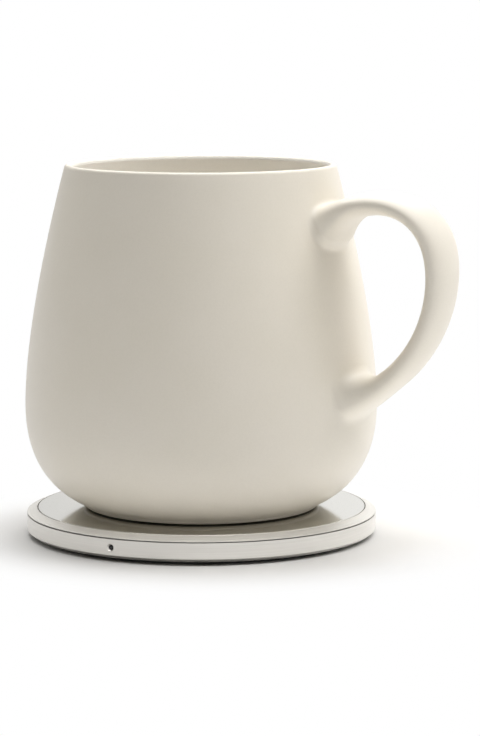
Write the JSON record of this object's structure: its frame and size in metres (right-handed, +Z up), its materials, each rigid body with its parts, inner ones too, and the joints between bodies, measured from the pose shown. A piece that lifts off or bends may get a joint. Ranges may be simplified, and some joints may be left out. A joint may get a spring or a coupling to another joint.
{
  "type": "self heating mug",
  "caption": "Round-bellied ceramic mug with a strap handle and a heater in its foot, standing on a flat round wireless heating pad with a metal rim.",
  "frame": {"origin": "centre of the pad's underside, on the surface it stands on", "axes": "+Z up along the mug's and the pad's shared axis; +X from the axis towards the handle; -Y towards the pad's indicator; +Y towards its charging inlet"},
  "size_m": [0.1241, 0.0964, 0.1018],
  "materials": {
    "ceramic": "matte glaze, warm cream",
    "aluminium": "fine brushed and clear anodised",
    "bezel": "satin anodised with a cut bevel",
    "panel": "smooth, softly reflecting",
    "silicone": "matte silicone",
    "foot_silicone": "matte silicone",
    "lens": "smoked clear plastic",
    "plastic": "moulded",
    "cover_plastic": "moulded, fine texture",
    "board": "solder mask over glass fibre",
    "chip": "moulded epoxy",
    "copper": "lacquered copper wire, wound flat",
    "ferrite": "sintered ferrite",
    "felt": "ceramic fibre felt",
    "film": "polyimide film",
    "steel": "plated"
  },
  "bodies": {
    "pad": {"base_mat": "silicone", "base_plate": "aluminium", "side_ring": "aluminium", "top_bezel": "bezel", "top_panel": "panel", "panel_seal": "silicone", "base_screw_1": "steel", "base_screw_2": "steel", "base_screw_3": "steel", "base_screw_4": "steel", "coil_tray": "plastic", "ferrite_plate": "ferrite", "transmitter_coil": "copper", "coil_thermistor": "chip", "control_board": "board", "charge_controller": "chip", "bridge_transistor_1": "chip", "bridge_transistor_2": "chip", "bridge_transistor_3": "chip", "bridge_transistor_4": "chip", "resonant_capacitor_1": "film", "resonant_capacitor_2": "film", "resonant_capacitor_3": "film", "resonant_capacitor_4": "film", "power_inductor": "ferrite", "status_led": "lens", "light_pipe": "lens", "inlet_shell": "steel", "inlet_tongue": "chip"},
    "mug": {"mug_body": "ceramic", "foot_ring": "foot_silicone", "base_cover": "cover_plastic", "cover_seal": "silicone", "receiver_coil": "copper", "ferrite_shield": "ferrite", "receiver_board": "board", "rectifier_chip": "chip", "smoothing_capacitor_1": "film", "smoothing_capacitor_2": "film", "insulation_pad": "felt", "heater_disc": "film", "heat_spreader": "aluminium", "temperature_sensor": "steel"}
  },
  "joints": [
    {"name": "mug_lift", "type": "slide", "parent": "pad", "child": "mug", "axis": [0, 0, 1], "range_m": [0, 0.12]}
  ]
}
